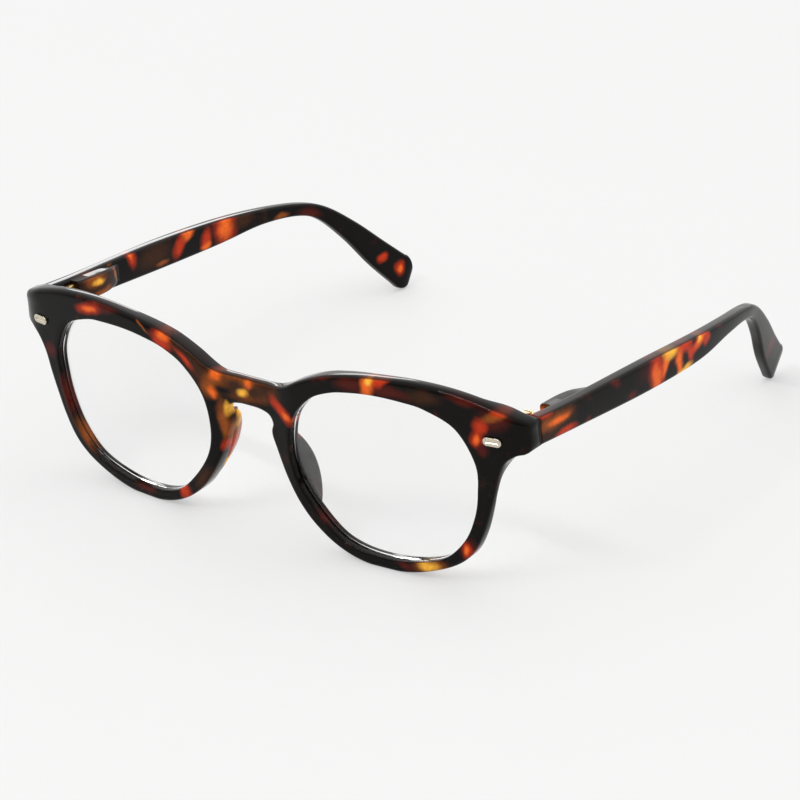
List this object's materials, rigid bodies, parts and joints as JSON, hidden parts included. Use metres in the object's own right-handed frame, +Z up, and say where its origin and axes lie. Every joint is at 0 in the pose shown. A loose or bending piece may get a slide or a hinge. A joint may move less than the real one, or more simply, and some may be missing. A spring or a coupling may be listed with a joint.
{
  "type": "folding reading glasses",
  "caption": "Full-rim, keyhole-bridge reading glasses in tortoiseshell plastic, standing open; each temple folds inwards on a barrel hinge.",
  "frame": {"origin": "middle of the open glasses' length and width, at the level of the surface that they stand on", "axes": "+X towards the wearer's left, +Y back along the open temples, +Z up"},
  "size_m": [0.139, 0.1222, 0.0445],
  "materials": {
    "tortoiseshell": "polished dark tortoiseshell",
    "temple_shell": "polished dark tortoiseshell",
    "lens": "clear, polished",
    "pad_shell": "polished amber tortoiseshell",
    "champagne_silver": "polished champagne silver plating",
    "brass": "satin",
    "screw_steel": "satin"
  },
  "bodies": {
    "front": {"front_frame": "tortoiseshell", "lens_left": "lens", "lens_right": "lens", "nose_pad_left": "pad_shell", "nose_pad_right": "pad_shell", "rivet_plate_left": "champagne_silver", "rivet_plate_right": "champagne_silver", "front_hinge_left": "brass", "front_hinge_right": "brass", "hinge_screw_left": "screw_steel", "hinge_screw_right": "screw_steel"},
    "left_temple": {"temple_left": "temple_shell", "temple_hinge_left": "brass"},
    "right_temple": {"temple_right": "temple_shell", "temple_hinge_right": "brass"}
  },
  "joints": [
    {"name": "left_fold", "type": "hinge", "parent": "front", "child": "left_temple", "pos_m": [0.0642, -0.04821, 0.0361], "axis": [0, 0, 1], "range_deg": [0, 84]},
    {"name": "right_fold", "type": "hinge", "parent": "front", "child": "right_temple", "pos_m": [-0.0642, -0.04821, 0.0361], "axis": [0, 0, -1], "range_deg": [0, 78]}
  ]
}
